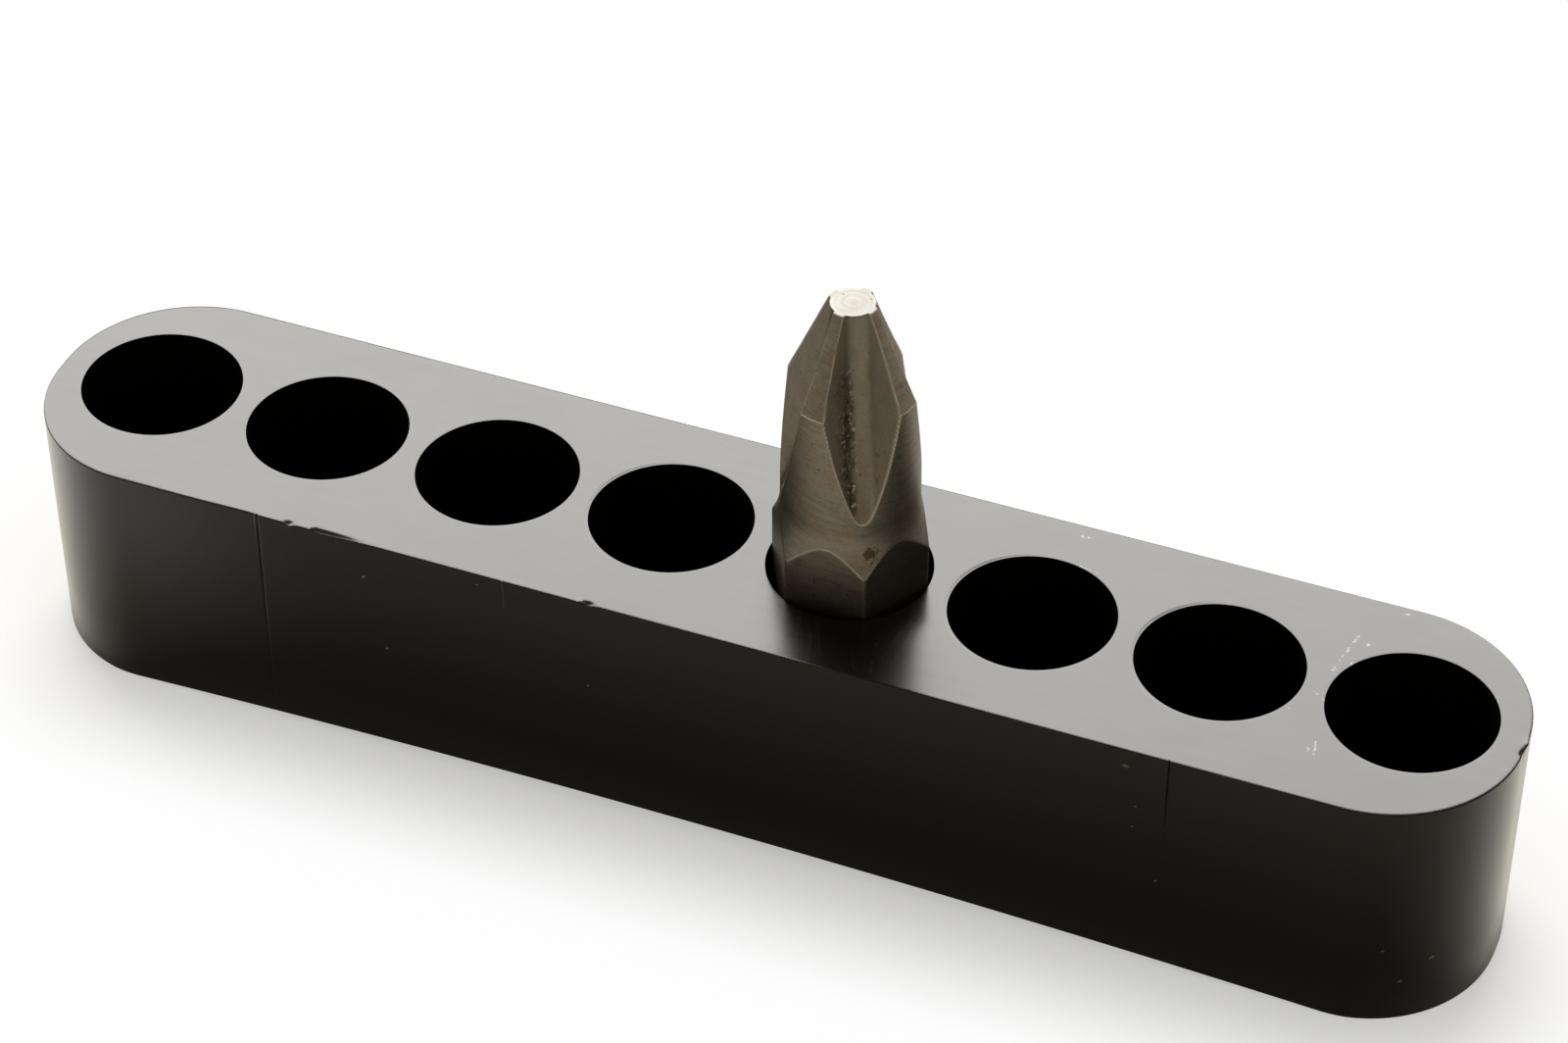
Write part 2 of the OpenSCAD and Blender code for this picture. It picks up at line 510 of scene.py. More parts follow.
kink_radii = turned_reach(np.array([NECK_Z, SHOULDER_Z]))
print("radius at the neck and shoulders:", np.round(kink_radii, 3))

# %% [markdown]
# ## Flutes
# The wheel that cuts a flute has a rim with a round nose and two sloping sides. Its axis lies
# across the bit, far out to the side and a little higher than the tip. So the rim leaves the bit
# again lower down, and that gives a flute its leaf shape. No simple formula gives the place where
# a line from the bit's axis enters the wheel. It is found by stepping along the line until it is
# inside the wheel, and then by halving the last step again and again.

# %% The wheel that cuts the flutes
FLUTES = 4
FIRST_FLUTE = math.radians(-60) + BIT_TURN
WHEEL_RADIUS = 40.0
WHEEL_NOSE = 0.8
WALL_ANGLE = math.radians(54)
LEAN = math.radians(6.5)
FLOOR_RADIUS = 0.7
WHEEL_X = FLOOR_RADIUS + WHEEL_RADIUS * math.cos(LEAN)
WHEEL_Z = BIT_LENGTH + WHEEL_RADIUS * math.sin(LEAN)
# Distances from the axis at which the search looks, and how often it then halves a step
SEARCH = np.linspace(0.2, 4.2, 161)
HALVINGS = 22
WIDEST_TURN = math.radians(80)
NO_CUT = 9.0


def rim_reach(y):
    """Radius of the wheel at a distance from its middle plane."""
    nose_end = WHEEL_NOSE * math.cos(WALL_ANGLE)
    nose = WHEEL_RADIUS - WHEEL_NOSE + np.sqrt(np.maximum(WHEEL_NOSE**2 - y**2, 0.0))
    side_start = WHEEL_RADIUS - WHEEL_NOSE + WHEEL_NOSE * math.sin(WALL_ANGLE)
    side = side_start - (np.abs(y) - nose_end) / math.tan(WALL_ANGLE)
    return np.where(np.abs(y) < nose_end, nose, side)


def flute_reach(turn, z, number):
    """Distance from the axis to one flute, or a large number where the flute isn't met."""
    middle = FIRST_FLUTE + number * 2 * math.pi / FLUTES
    across = np.mod(turn - middle + math.pi, 2 * math.pi) - math.pi

    def in_wheel(distance):
        x, y = distance * np.cos(across), distance * np.sin(across)
        return np.sqrt((x - WHEEL_X) ** 2 + (z - WHEEL_Z) ** 2) < rim_reach(y)

    hits = np.array([in_wheel(distance) for distance in SEARCH])
    found = hits.any(0) & (np.abs(across) < WIDEST_TURN)
    first = hits.argmax(0)
    near, far = SEARCH[np.maximum(first - 1, 0)], SEARCH[first]
    for _ in range(HALVINGS):
        half_way = (near + far) / 2
        hit = in_wheel(half_way)
        near, far = np.where(hit, near, half_way), np.where(hit, half_way, far)
    return np.where(found, far, NO_CUT)


tip_floor = float(flute_reach(np.array([FIRST_FLUTE]), np.array([BIT_LENGTH]), 0)[0])
print("flute's floor at the tip:", round(tip_floor, 3), "mm from the axis")

# %% [markdown]
# ## The grid round the bit
# The grid's rows follow the bit from its foot to its tip, and the last ones run over the tip's
# rounded rim. Only the part above the block is fine, because the rest is hidden in the socket.

# %% Where the bit's surface lies
COLUMNS = 396
TIP_ROUND = 0.05
BIT_EDGE_ROUND = 0.04
# Radius at the tip that no flute cuts into
TIP_CORE = 0.99
# Stretches of rows: start, end, and distance between rows
ROWS = (
    (0.6, 9.9, 1.2),
    (9.9, 12.4, 0.10),
    (12.4, 14.2, 0.055),
    (14.2, 20.3, 0.075),
    (20.3, 21.0, 0.045),
    (21.0, 24.4, 0.07),
    (24.4, 24.95, 0.04),
)

turns = np.linspace(0, 2 * math.pi, COLUMNS, endpoint=False)
plain_rows = np.r_[0.0, 0.15, 0.3, 0.45, np.concatenate([spaced(*stretch) for stretch in ROWS])]
tip_arc = np.linspace(0, math.pi / 2, 6)[1:]
heights = np.r_[plain_rows, BIT_LENGTH - TIP_ROUND + TIP_ROUND * np.sin(tip_arc)]
turn, up = np.meshgrid(turns, heights)

turned = turned_reach(np.minimum(up, BIT_LENGTH))
hexagon = hexagon_reach(turn)
outside = smooth_min(turned, hexagon, BIT_EDGE_ROUND)
cut = np.minimum.reduce([flute_reach(turn, up, number) for number in range(FLUTES)])
cut = np.maximum(cut, TIP_CORE * ramp(up, 24.50, 24.95))
reach = smooth_min(outside, cut, BIT_EDGE_ROUND)
reach[len(plain_rows) :] -= (TIP_ROUND * (1 - np.cos(tip_arc)))[:, None]
print("grid:", reach.shape, "distance from the axis:", np.round([reach.min(), reach.max()], 3))

# %% [markdown]
# ## What the steel has to know
# Wear and light follow the shape: edges are rubbed bright and carry a painted highlight, dirt sits
# along one wall of the first flute, which is the one at the front, its other wall has a painted
# shade, and the shank is painted darker as shade. A material can't see edges or flutes, so
# the mesh hands them over as layers of one number at each point. The distance to an edge comes
# from the gap between two cuts, divided by how fast that gap grows along the surface.

# %% Layers for edges, flutes, dirt and shank
# Direction in which the painted highlight on the shank's arcs is brightest
ARC_HIGHLIGHT_DIRECTION = math.radians(-108)


def edge_line(gap, width):
    """One on the line where two cuts meet, and nothing about two widths away from it."""
    along = np.gradient(gap, heights, axis=0)
    around = np.gradient(gap, turns[1] - turns[0], axis=1) / reach
    distance = gap / np.sqrt(along**2 + around**2 + 1e-4)
    return hump(distance, 0.0, width) * (np.abs(gap) < 0.12)


fluted = cut < outside
# Edge lines, which carry rubbed wear and a painted highlight; the arcs' highlight is strongest
# toward one side, and the flutes' is weaker near the tip.
arcs = edge_line(turned - hexagon, 0.020) * (up > 12.62) * (up < 14.3)
arcs = arcs * (0.5 + 0.5 * np.cos(turn - ARC_HIGHLIGHT_DIRECTION))
flute_edges = edge_line(outside - cut, 0.021) * (cut < NO_CUT - 1)
flute_edges = flute_edges * (0.65 + 0.35 * (1 - ramp(up, 21.0, 23.0)))
shoulder = hump(up, SHOULDER_Z, 0.024) * (cut > outside)

across_flute = np.sin(turn - FIRST_FLUTE) * reach
in_front_flute = fluted * (np.cos(turn - FIRST_FLUTE) > 0)
near_wall = ramp(across_flute, -1.15, -0.55) * (1 - ramp(across_flute, -0.30, -0.05))
dirty_height = ramp(up, 14.3, 15.6) * (1 - ramp(up, 20.5, 23.4))

BIT_LAYERS = {
    "worn_edge": np.maximum(np.maximum(arcs, flute_edges), shoulder),
    "flute": cut < outside - 0.01,
    "grime": near_wall * in_front_flute * dirty_height,
    # The far wall of the front flute is painted darker as shade.
    "far_wall": in_front_flute * ramp(across_flute, 0.40, 0.62),
    # The hex shank just above the block is painted darker as shade, where it mirrors the black
    # plastic.
    "shank": (hexagon < turned - 0.01) * (up < 15.5),
}
print("mean of each layer:", {name: round(float(v.mean()), 4) for name, v in BIT_LAYERS.items()})

# %% [markdown]
# ## The bit's mesh
# The grid is closed by a flat foot and a flat tip. The faces of the tip run inwards in smaller and
# smaller copies of the tip's outline, so that no face is pinched at the notches.

# %% Build the bit
TIP_SHARES = (0.86, 0.66, 0.42, 0.18)


def build_bit():
    x, y = BIT_X + reach * np.cos(turn), ROW_Y + reach * np.sin(turn)
    rings = [np.c_[x[row], y[row], BIT_Z + up[row]] for row in range(len(heights))]
    for share in TIP_SHARES:
        r = reach[-1] * share
        flat = np.full(COLUMNS, TIP_Z)
        rings.append(np.c_[BIT_X + r * np.cos(turns), ROW_Y + r * np.sin(turns), flat])
    points, faces = [], []
    last = add_rings(points, faces, rings, flip=True)[-1]
    tip_centre, foot_centre = len(points), len(points) + 1
    points += [(BIT_X, ROW_Y, TIP_Z), (BIT_X, ROW_Y, BIT_Z)]
    faces += [(last + i, last + (i + 1) % COLUMNS, tip_centre) for i in range(COLUMNS)]
    faces += [((i + 1) % COLUMNS, i, foot_centre) for i in range(COLUMNS)]
    return make_piece("steel_bit", points, faces, sharp_degrees=40)


def add_layers(piece, layers):
    """Writes each layer to the grid's points. The points of the tip and foot after them get 0."""
    for name, values in layers.items():
        layer = piece.data.attributes.new(name, "FLOAT", "POINT")
        filled = np.zeros(len(piece.data.vertices), np.float32)
        filled[: values.size] = values.ravel()
        layer.data.foreach_set("value", filled)


bit = build_bit()
add_layers(bit, BIT_LAYERS)
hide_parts("driver_bit")
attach(bit, "root")

# %% [markdown]
# ## Writing shader maths as Python
# A material is a graph of nodes, and long sums are hard to read as nodes. The small class below
# wraps an output socket, so that `1 - mask * 0.4` adds the Math nodes by itself. Colours go
# through Mix nodes, because a Math node would turn them grey. Every other node comes from one
# method, which takes its type, its settings, and the values or links of its sockets.

# %% Socket class
class Sock:
    """An output socket that can be used in sums."""

    def __init__(self, tree, socket):
        self.tree, self.socket = tree, socket

    def _math(self, operation, *values):
        node = self.tree.nodes.new("ShaderNodeMath")
        node.operation = operation
        for slot, value in zip(node.inputs, values):
            plug(self.tree, slot, value)
        return Sock(self.tree, node.outputs[0])

    def __add__(self, other):
        return self._math("ADD", self, other)

    def __radd__(self, other):
        return self._math("ADD", other, self)

    def __sub__(self, other):
        return self._math("SUBTRACT", self, other)

    def __rsub__(self, other):
        return self._math("SUBTRACT", other, self)

    def __mul__(self, other):
        return self._math("MULTIPLY", self, other)

    def __rmul__(self, other):
        return self._math("MULTIPLY", other, self)

    def __pow__(self, other):
        return self._math("POWER", self, other)

    def __lt__(self, other):
        return self._math("LESS_THAN", self, other)

    def __abs__(self):
        return self._math("ABSOLUTE", self)

    def at_least(self, least):
        return self._math("MAXIMUM", self, least)

    def clamp(self):
        return self._math("MINIMUM", self.at_least(0.0), 1.0)

    def smooth(self, start, end):
        """Smooth rise from nothing at start to one at end, or a fall where end is less."""
        t = ((self - start) * (1.0 / (end - start))).clamp()
        return t * t * (3.0 - 2.0 * t)


def plug(tree, slot, value):
    if isinstance(value, Sock):
        tree.links.new(value.socket, slot)
    elif value is not None:
        slot.default_value = value


# %% Material helper
class Paint:
    """One material and its nodes."""

    def __init__(self, name):
        self.material = bpy.data.materials.new(name)
        self.material.use_nodes = True
        self.tree = self.material.node_tree
        self.tree.nodes.clear()

    def node(self, kind, settings=None, output=0, **values):
        """A node of any kind. Socket names have _ for a space, and i3 is the socket number 3."""
        node = self.tree.nodes.new(kind)
        for key, value in (settings or {}).items():
            setattr(node, key, value)
        for key, value in values.items():
            slot = int(key[1:]) if key[1:].isdigit() else key.replace("_", " ")
            plug(self.tree, node.inputs[slot], value)
        if isinstance(output, tuple):
            return [Sock(self.tree, node.outputs[name]) for name in output]
        return Sock(self.tree, node.outputs[output]) if node.outputs else None

    def place(self):
        """The point on the object for noises, in metres, and its x, y and z in millimetres."""
        point = self.node("ShaderNodeTexCoord", output="Object")
        parts = self.node("ShaderNodeSeparateXYZ", output=(0, 1, 2), i0=point)
        return point, [part * (1 / MM) for part in parts]

    def vector(self, x, y, z):
        return self.node("ShaderNodeCombineXYZ", i0=x, i1=y, i2=z)

    def noise(self, vector, scale, detail, roughness):
        sizes = {"Scale": scale, "Detail": detail, "Roughness": roughness}
        return self.node("ShaderNodeTexNoise", output="Fac", Vector=vector, **sizes)

    def mix(self, share, first, second):
        return self.node("ShaderNodeMix", {"data_type": "RGBA"}, 2, i0=share, i6=first, i7=second)

    def layer(self, name):
        settings = {"attribute_type": "GEOMETRY", "attribute_name": name}
        return self.node("ShaderNodeAttribute", settings, "Fac")

    def bump(self, height, depth_mm, strength, normal=None):
        depth = depth_mm * MM
        values = {"Height": height, "Distance": depth, "Strength": strength, "Normal": normal}
        return self.node("ShaderNodeBump", **values)

    def surface(self, **values):
        return self.node("ShaderNodeBsdfPrincipled", **values)

    def finish(self, shader):
        self.node("ShaderNodeOutputMaterial", Surface=shader)
        print(self.material.name, "has", len(self.tree.nodes), "nodes")
        return self.material


# %% [markdown]
# ## Scuffs, streaks and dots
# Between the last two sockets the top is scuffed, and the scuffs show nearly white. Beside the bit
# it has a few long, very faint streaks. Each mark is a short stroke from one place to another, in
# millimetres on the face, and a noise breaks it into specks. The front wall has a few pale dots
# and one fine scratch, made the same way.

# %% Places of the scuffs, streaks and dots
# On the top, x and y of a stroke's start and end, and its width
SCUFFS = [
    ((26.30, 4.10), (26.00, 2.45), 0.07),
    ((26.02, 2.5), (25.86, 1.3), 0.09),
    ((26.5, 2.3), (26.30, 0.9), 0.05),
    ((26.32, 0.6), (26.33, -0.4), 0.05),
    ((25.50, -0.15), (26.05, -0.45), 0.05),
    ((24.80, -1.50), (24.98, -1.62), 0.06),
    ((26.45, -3.05), (26.60, -3.85), 0.06),
    ((26.25, -3.50), (26.32, -3.70), 0.05),
    ((26.75, 3.7), (26.85, 3.5), 0.05),
    ((27.70, 6.05), (27.95, 6.15), 0.07),
    ((13.10, 5.78), (13.40, 5.80), 0.10),
    ((9.36, -1.20), (9.50, -1.60), 0.04),
    ((13.50, 3.92), (14.75, 3.66), 0.03),
]
STREAKS = [
    ((8.41, -1.0), (8.27, -5.4)),
    ((7.75, -0.9), (8.51, -4.0)),
    ((3.43, -1.8), (5.18, -5.8)),
    ((3.36, -3.4), (3.91, -5.4)),
    ((6.43, -5.3), (7.08, -6.4)),
    ((7.20, -4.2), (7.60, -6.1)),
    ((8.0, -2.2), (7.75, -5.0)),
    ((4.3, -4.6), (4.9, -6.3)),
]
STREAK_WIDTH = 0.09
STREAK_SHARE = 0.014
# On the front wall, x and z of each dot, and its size
WALL_DOTS = [
    (-16.26, 10.23, 0.08),
    (-15.36, 6.25, 0.06),
    (-10.66, 11.60, 0.04),
    (32.82, 3.36, 0.08),
    (31.74, 2.28, 0.07),
    (19.22, 11.30, 0.07),
    (19.34, 11.26, 0.06),
    (19.83, 9.12, 0.04),
    (19.75, 7.93, 0.035),
    (20.96, 5.12, 0.05),
    (30.94, 4.20, 0.045),
    (-5.46, 7.37, 0.04),
]
WALL_SCRATCH = ((-9.40, 12.05), (-9.40, 10.70), 0.030)
print(len(SCUFFS), "scuffs,", len(STREAKS), "streaks and", len(WALL_DOTS), "dots")


# %% Masks of the scuffs, streaks and dots
def stroke(x, y, start, end, width):
    """One on a line from start to end, and nothing further from it than the width."""
    (ax, ay), (bx, by) = start, end
    length = math.hypot(bx - ax, by - ay)
    ux, uy = (bx - ax) / length, (by - ay) / length
    dx, dy = x - ax, y - ay
    share = ((dx * ux + dy * uy) * (1.0 / length)).clamp()
    px, py = dx - share * (bx - ax), dy - share * (by - ay)
    return ((px * px + py * py) ** 0.5).smooth(width, width * 0.4)


def scuff_mask(paint, point, x, y):
    wobble = paint.noise(point, 5200.0, 2.0, 0.6) - 0.5
    broken = paint.noise(point, 3600.0, 3.0, 0.7).smooth(0.45, 0.54)
    shaken_x, shaken_y = x + wobble * 0.35, y + wobble * 0.25
    scuffs = sum(stroke(shaken_x, shaken_y, *scuff) for scuff in SCUFFS)
    shaken_x = x + wobble * 0.15
    streaks = sum(stroke(shaken_x, y, *streak, STREAK_WIDTH) for streak in STREAKS)
    return (scuffs * broken + STREAK_SHARE * streaks * broken).clamp()


def wall_dot_mask(x, y, z):
    marks = stroke(x, z, *WALL_SCRATCH) * 0.35
    for dot_x, dot_z, size in WALL_DOTS:
        marks = marks + stroke(x, z, (dot_x - 0.04, dot_z), (dot_x + 0.04, dot_z + 0.05), size)
    on_front = y < -3.2
    return (marks * on_front).clamp()


# %% [markdown]
# ## Black plastic
# The block looks light grey on top and black at the front, yet it is one moulding in one black
# plastic. The grey is only the bright sheet behind it, mirrored in a half-gloss surface. Painting
# the top grey would be wrong from every other side. So the colour is nearly black all over, and
# the look comes from the gloss: a very fine grain, soft streaks from handling, and a few rubbed
# places. The walls keep the dull skin of the mould, so they mirror less than the top, except where
# they turn away and at the left end, where fingers have polished them.

# %% Plastic for the block
# The top and the walls are one black plastic, but their blacks differ: the top's is painted darker
# against the strong light that falls on it, and the walls' is painted lighter and warmer, for the
# warm floor that they mirror.
TOP_BLACK_PAINTED_DARKER = (0.0006, 0.0005, 0.0003, 1), (0.0014, 0.0012, 0.0008, 1)
WALL_BLACK_PAINTED_WARMER = (0.0019, 0.0013, 0.0004, 1), (0.0030, 0.0022, 0.0008, 1)
RUBBED_WHITE = (0.62, 0.60, 0.54, 1)
PALE_DOT = (0.12, 0.10, 0.07, 1)


def top_surface(paint, place, grain, cloud):
    point, (x, y, z) = place
    streaks = paint.noise(paint.vector(x * 0.35, y * 3.0, z * 0.35), 1.0, 3.0, 0.55)
    scuffs = scuff_mask(paint, point, x, y)
    colour = paint.mix(scuffs, paint.mix(cloud, *TOP_BLACK_PAINTED_DARKER), RUBBED_WHITE)
    roughness = 0.18 + 0.06 * cloud + 0.05 * streaks + 0.3 * scuffs
    normal = paint.bump(streaks, 0.0006, 0.05, paint.bump(grain, 0.0008, 0.25))
    return paint.surface(Base_Color=colour, Roughness=roughness, Normal=normal, IOR=1.5)


def wall_surface(paint, place, grain, cloud):
    _, (x, y, z) = place
    aslant = paint.node("ShaderNodeLayerWeight", output="Facing", Blend=0.5).smooth(0.31, 0.92)
    handled = 0.36 * x.smooth(-18.0, -30.0) * z.smooth(2.0, 11.0)
    return paint.surface(
        Base_Color=paint.mix(wall_dot_mask(x, y, z), paint.mix(cloud, *WALL_BLACK_PAINTED_WARMER), PALE_DOT),
        Roughness=0.20 + 0.10 * cloud,
        Normal=paint.bump(grain, 0.004, 0.5),
        IOR=1.30,
        Specular_Tint=(1.0, 0.94, 0.78, 1),
        Coat_Weight=(aslant + handled).clamp(),
        Coat_Roughness=0.30,
        Coat_Tint=(1.0, 0.98, 0.93, 1),
    )


def plastic():
    paint = Paint("black_plastic")
    place = paint.place()
    grain = paint.noise(place[0], 9000.0, 3.0, 0.6)
    cloud = paint.noise(place[0], 160.0, 3.0, 0.55)
    top = top_surface(paint, place, grain, cloud)
    wall = wall_surface(paint, place, grain, cloud)
    normal = paint.node("ShaderNodeNewGeometry", output="Normal")
    facing_up = paint.node("ShaderNodeSeparateXYZ", output=2, i0=normal).smooth(0.55, 0.9)
    return paint.finish(paint.node("ShaderNodeMixShader", i0=facing_up, i1=wall, i2=top))


block.data.materials.append(plastic())

# %% [markdown]
# ## Ground steel
# The bit is plain hardened steel, warm grey and not polished. The neck and the cone carry faint
# patches of fine marks round the axis from turning. The flutes are ground lengthwise, and the one
# at the front has dirt and pits along one wall. The tip has rings, and a spot of rust sits above
# the shank. Marks that run round the axis depend almost only on the height, so a noise that is
# stretched round the axis gives them. All masks are made first, and then the colour is built up
# from them, layer upon layer.

# %% Masks of the steel
RUST_PLACE = (6.15, -2.36, 15.42)


def steel_masks(paint):
    """All masks of the bit's steel, by name, each between 0 and 1."""
    point, (x, y, z) = paint.place()
    dx, dy = x - BIT_X, y - ROW_Y
    radius = (dx * dx + dy * dy) ** 0.5
    m = SimpleNamespace(**{name: paint.layer(name) for name in BIT_LAYERS})
    # Noises that are alike in all directions, from coarse to fine
    m.cloud = paint.noise(point, 420.0, 4.0, 0.6)
    m.patches = paint.noise(point, 900.0, 5.0, 0.7)
    m.pits = paint.noise(point, 3200.0, 2.0, 0.5).smooth(0.66, 0.76)
    m.specks = paint.noise(point, 5200.0, 3.0, 0.7)
    # Specks for the painted glints in the dirt
    m.flecks = paint.noise(point, 5200.0, 2.0, 0.6)
    m.grain = paint.noise(point, 11000.0, 3.0, 0.7)
    # Noises stretched along the bit or round it, with a little waver, and rings for the tip
    m.tints = paint.noise(paint.vector(dx * 0.9 + 7.0, dy * 0.9, z * 0.45), 1.0, 3.0, 0.6)
    round_axis = paint.vector(dx * 0.35, dy * 0.35, z * 5.0 + dx * 0.9)
    m.turning = paint.noise(round_axis, 1.0, 5.0, 0.8)
    m.along = paint.noise(paint.vector(dx * 3.2, dy * 3.2, z * 0.25), 1.0, 4.0, 0.7)
    m.rings = paint.noise(paint.vector(radius * 5.0, dx * 0.7, dy * 0.7), 1.0, 2.0, 0.6)
    m.clumps = paint.noise(paint.vector(dx * 2.4, dy * 2.4, z * 1.5 + 5.0), 1.0, 4.0, 0.65)
    # Places: the tip, where turning marks show, the dirt, and the spot of rust
    m.tip = z.smooth(TIP_Z - 0.07, TIP_Z - 0.02)
    m.turned = m.patches.smooth(0.34, 0.58) * (1.0 - m.flute) * (1.0 - m.tip)
    m.dirt = m.grime * m.clumps.smooth(0.38, 0.58)
    sx, sy, sz = (value - place for value, place in zip((x, y, z), RUST_PLACE))
    from_rust = (sx * sx + sy * sy + sz * sz) ** 0.5
    from_rust = from_rust + (m.specks - 0.5) * 1.6 + (m.patches - 0.5) * 1.3
    m.rust = from_rust.smooth(0.26, 0.16)
    return m


# %% Colour of the steel
STEEL = (0.172, 0.144, 0.104, 1), (0.232, 0.199, 0.149, 1)
TIP_STEEL = (0.49, 0.48, 0.45, 1), (0.60, 0.59, 0.56, 1)


def steel_colour(paint, m):
    """Plain steel under layers of tint, each with its share and its colour."""
    tip_colour = paint.mix(m.rings.smooth(0.2, 0.8), *TIP_STEEL)
    layers = [
        # Heat tints, reddish and greenish
        (m.tints.smooth(0.50, 0.64) * 0.55, (0.205, 0.135, 0.088, 1)),
        (m.tints.smooth(0.47, 0.34) * 0.45, (0.128, 0.128, 0.086, 1)),
        # Grain, dark and pale
        (m.grain.smooth(0.50, 0.32) * 0.30, (0.090, 0.073, 0.050, 1)),
        (m.grain.smooth(0.52, 0.68) * 0.30, (0.270, 0.238, 0.186, 1)),
        # Turning marks, pale and dark
        (m.turned * m.turning.smooth(0.45, 0.70) * 0.70, (0.270, 0.236, 0.182, 1)),
        (m.turned * m.turning.smooth(0.50, 0.28) * 0.75, (0.100, 0.083, 0.058, 1)),
        # Grinding marks and a painted shade in the flutes, then a painted shade on the far wall and
        # on the shank
        (m.flute * m.along.smooth(0.35, 0.70) * 0.30, (0.120, 0.098, 0.068, 1)),
        # A painted shade that darkens the whole of every flute.
        (m.flute * 0.18, (0.080, 0.064, 0.042, 1)),
        # Painted shade on the far wall of the front flute.
        (m.far_wall * 0.52, (0.072, 0.057, 0.038, 1)),
        # Painted shade on the hex shank, which mirrors the black block.
        (m.shank * 0.32, (0.060, 0.048, 0.030, 1)),
        (m.patches.smooth(0.56, 0.72) * 0.22, (0.120, 0.098, 0.070, 1)),
        # Dirt in the front flute, with painted glints in it
        (m.grime * 0.30, (0.085, 0.058, 0.036, 1)),
        (m.dirt * (0.30 + 0.60 * m.specks.smooth(0.42, 0.60)), (0.056, 0.034, 0.020, 1)),
        (m.dirt * m.flecks.smooth(0.42, 0.35) * 0.80, (0.55, 0.50, 0.42, 1)),
        # Flat tip, pits, rust, and edges that are worn and carry a painted highlight
        (m.tip * 0.94, tip_colour),
        (m.pits * 0.55, (0.055, 0.038, 0.024, 1)),
        (m.rust * 0.80, (0.050, 0.020, 0.010, 1)),
        # Worn edges, partly rubbed wear and partly a painted highlight of the edge lines.
        ((m.worn_edge * 0.48).clamp(), (0.62, 0.57, 0.48, 1)),
    ]
    colour = paint.mix(m.cloud, *STEEL)
    for share, tint in layers:
        colour = paint.mix(share, colour, tint)
    return colour


# %% Steel for the bit
def steel():
    paint = Paint("ground_steel")
    m = steel_masks(paint)
    roughness = 0.38 - 0.06 * m.flute + 0.10 * m.cloud + 0.06 * m.patches + 0.28 * m.tip
    normal = paint.bump(m.turned * m.turning, 0.014, 0.6)
    normal = paint.bump(m.tip * m.rings, 0.004, 0.3, normal)
    normal = paint.bump(m.grime * m.specks + m.flute * m.along * 0.15, 0.010, 0.5, normal)
    normal = paint.bump(1.0 - m.pits, 0.010, 0.4, normal)
    colour = steel_colour(paint, m)
    skin = paint.surface(Base_Color=colour, Roughness=roughness, Normal=normal, Metallic=1.0)
    return paint.finish(skin)


bit.data.materials.append(steel())

# %% [markdown]
# ## Floor
# A small object like this is shot on a bright white sheet that curves up behind it. The floor is a
# wide pale plane that shows white to the camera and through glass, and keeps a soft shadow close to
# the block. Reflections see a painted glow in it: white light mixed in at some distance from the
# block, and more at its left, which paints a brighter reflection into the block's walls, most of
# all at the left.

# %% Floor
FLOOR_COLOUR = (0.88, 0.86, 0.81, 1)
FLOOR_SIZE = 6.0
FLOOR_STEPS = 12


def floor_material():
    paint = Paint("pale_floor")
    _, (x, y, _) = paint.place()
    rays = ("Is Camera Ray", "Is Glossy Ray", "Is Transmission Ray")
    camera_ray, glossy_ray, passed_ray = paint.node("ShaderNodeLightPath", output=rays)
    beyond_end = (abs(x) - STRAIGHT).at_least(0.0)
    away = (beyond_end * beyond_end + y * y) ** 0.5 - END_RADIUS
    seen = (0.45 + 0.53 * away.smooth(-1.0, 8.0)) * (camera_ray + passed_ray).clamp()
    # A painted glow that only reflections see, stronger away from the block and to its left.
    left_glow_share = x.smooth(-24.0, -38.0)
    reflected_glow = (0.245 + 0.50 * left_glow_share) * away.smooth(3.5, 14.5) * glossy_ray
    diffuse = paint.node("ShaderNodeBsdfDiffuse", Color=FLOOR_COLOUR)
    white = paint.node("ShaderNodeEmission", Color=(1, 1, 1, 1), Strength=1.0)
    skin = paint.node("ShaderNodeMixShader", i0=seen + reflected_glow, i1=diffuse, i2=white)
    return paint.finish(skin)


def build_floor():
    line = np.linspace(-FLOOR_SIZE / 2, FLOOR_SIZE / 2, FLOOR_STEPS + 1) / MM
    points = [(x, y, 0.0) for y in line for x in line]
    row = FLOOR_STEPS + 1
    starts = [r * row + c for r in range(FLOOR_STEPS) for c in range(FLOOR_STEPS)]
    faces = [(i, i + 1, i + row + 1, i + row) for i in starts]
    sheet = make_piece("floor_sheet", points, faces)
    sheet.data.materials.append(floor_material())
    return sheet


floor = build_floor()

# %% [markdown]
# ## Light
# The sheet behind the object is much brighter than the rest, and it is what the flat top mirrors.
# One large soft lamp stands for that part, opposite the camera and as high above the floor. An
# even pale world stands for the room.

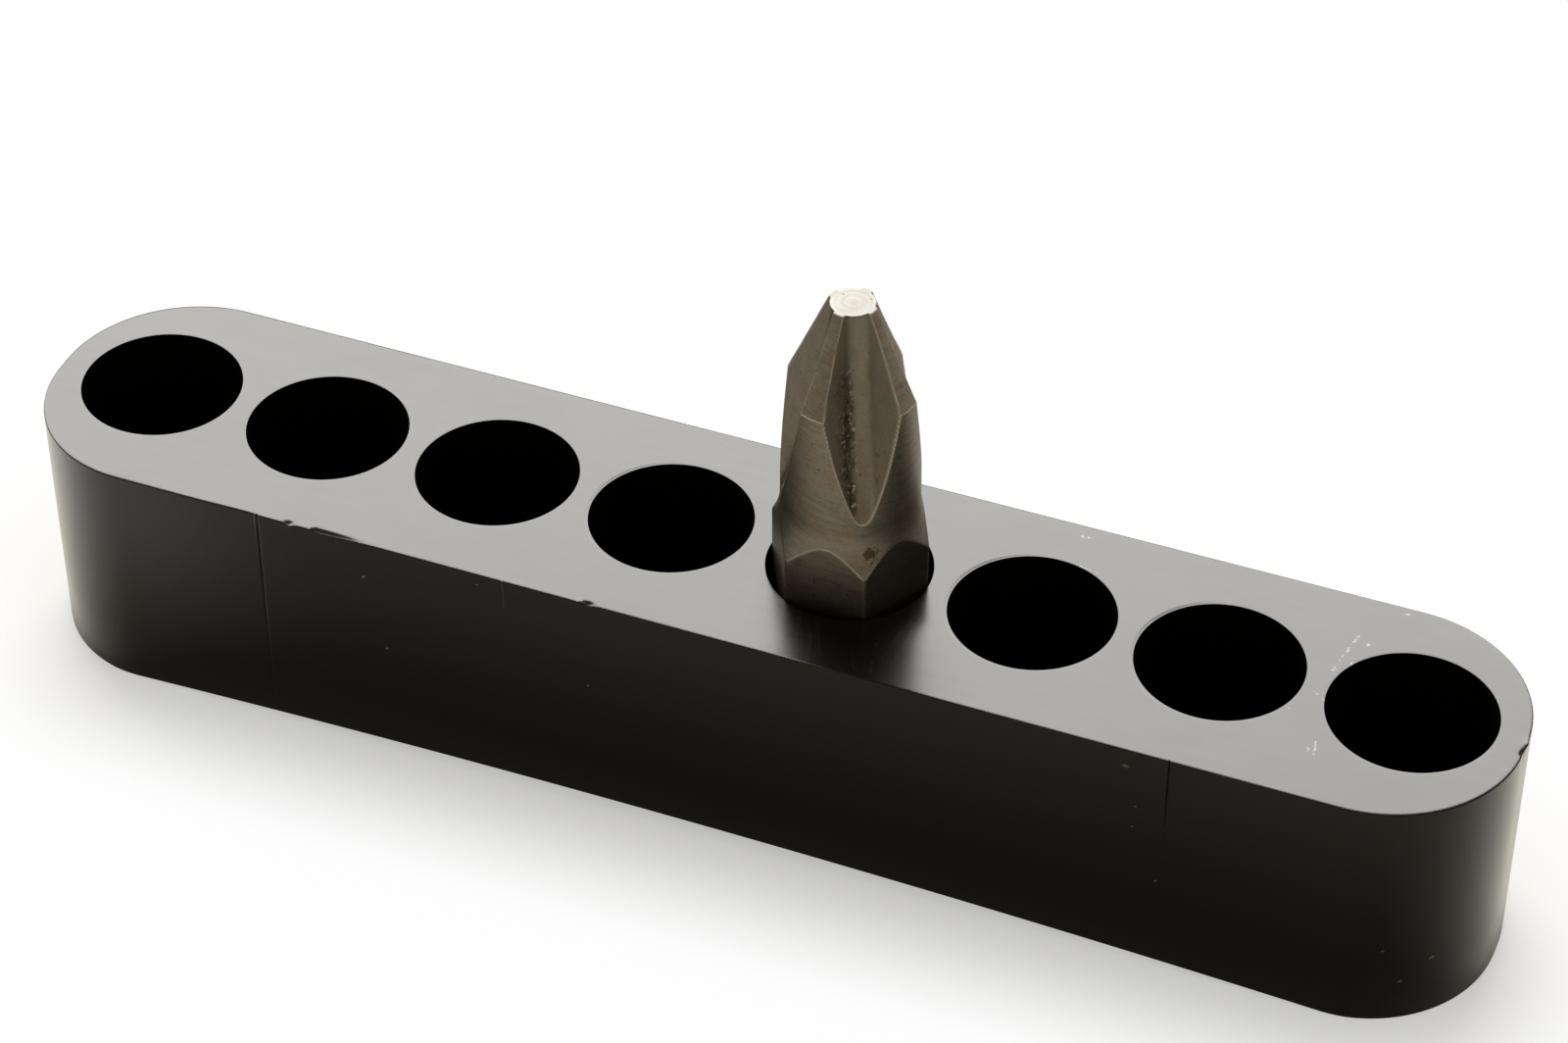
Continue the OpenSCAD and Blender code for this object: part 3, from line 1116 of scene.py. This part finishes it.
# %% Lamp and world
CAMERA_AZIMUTH, CAMERA_ELEVATION = 21.90, 40.41
LAMP_AZIMUTH, LAMP_ELEVATION = CAMERA_AZIMUTH + 185, 41
LAMP_DISTANCE = 1.2
LAMP_WIDTH, LAMP_HEIGHT = 1.24, 0.60
LAMP_RADIANCE = 8.35
LAMP_COLOUR = (1.0, 0.99, 0.955)
ROOM_COLOUR = (0.34, 0.33, 0.305, 1)


def direction(azimuth, elevation):
    """Away from the block, in degrees round from the front and up from the floor."""
    a, e = math.radians(azimuth), math.radians(elevation)
    return Vector((math.sin(a) * math.cos(e), -math.cos(a) * math.cos(e), math.sin(e)))


sheet = bpy.data.lights.new("bright_sheet_behind", "AREA")
sheet.shape = "RECTANGLE"
sheet.size, sheet.size_y = LAMP_WIDTH, LAMP_HEIGHT
sheet.energy = LAMP_RADIANCE * math.pi * LAMP_WIDTH * LAMP_HEIGHT
sheet.color = LAMP_COLOUR
lamp = bpy.data.objects.new("bright_sheet_behind", sheet)
towards_lamp = direction(LAMP_AZIMUTH, LAMP_ELEVATION)
lamp.location = towards_lamp * LAMP_DISTANCE
lamp.rotation_euler = towards_lamp.to_track_quat("Z", "Y").to_euler()
scene.collection.objects.link(lamp)
print("lamp at", [round(value, 2) for value in lamp.location])

world = bpy.data.worlds.new("room")
world.use_nodes = True
background = world.node_tree.nodes["Background"]
background.inputs["Color"].default_value = ROOM_COLOUR
background.inputs["Strength"].default_value = 1.0
scene.world = world

# %% [markdown]
# ## Camera
# The camera's place comes from a fit of seven socket mouths and the block's edges to the
# photograph. It looks down at about 40 degrees with a lens of 100 mm, which is a usual choice for
# small objects.

# %% Camera
CAMERA_TARGET = Vector((0.496, 1.812, 12.2))
CAMERA_DISTANCE = 193.81
LENS = 100.32
SENSOR_WIDTH = 36.0

camera = bpy.data.cameras.new("camera")
camera.sensor_width = SENSOR_WIDTH
camera.lens = LENS
camera.clip_start = 0.01
viewer = bpy.data.objects.new("camera", camera)
back = direction(CAMERA_AZIMUTH, CAMERA_ELEVATION)
viewer.location = (CAMERA_TARGET + back * CAMERA_DISTANCE) * MM
viewer.rotation_euler = back.to_track_quat("Z", "Y").to_euler()
scene.collection.objects.link(viewer)
scene.camera = viewer
scene.view_settings.view_transform = "Standard"
print("camera at", [round(value, 4) for value in viewer.location])
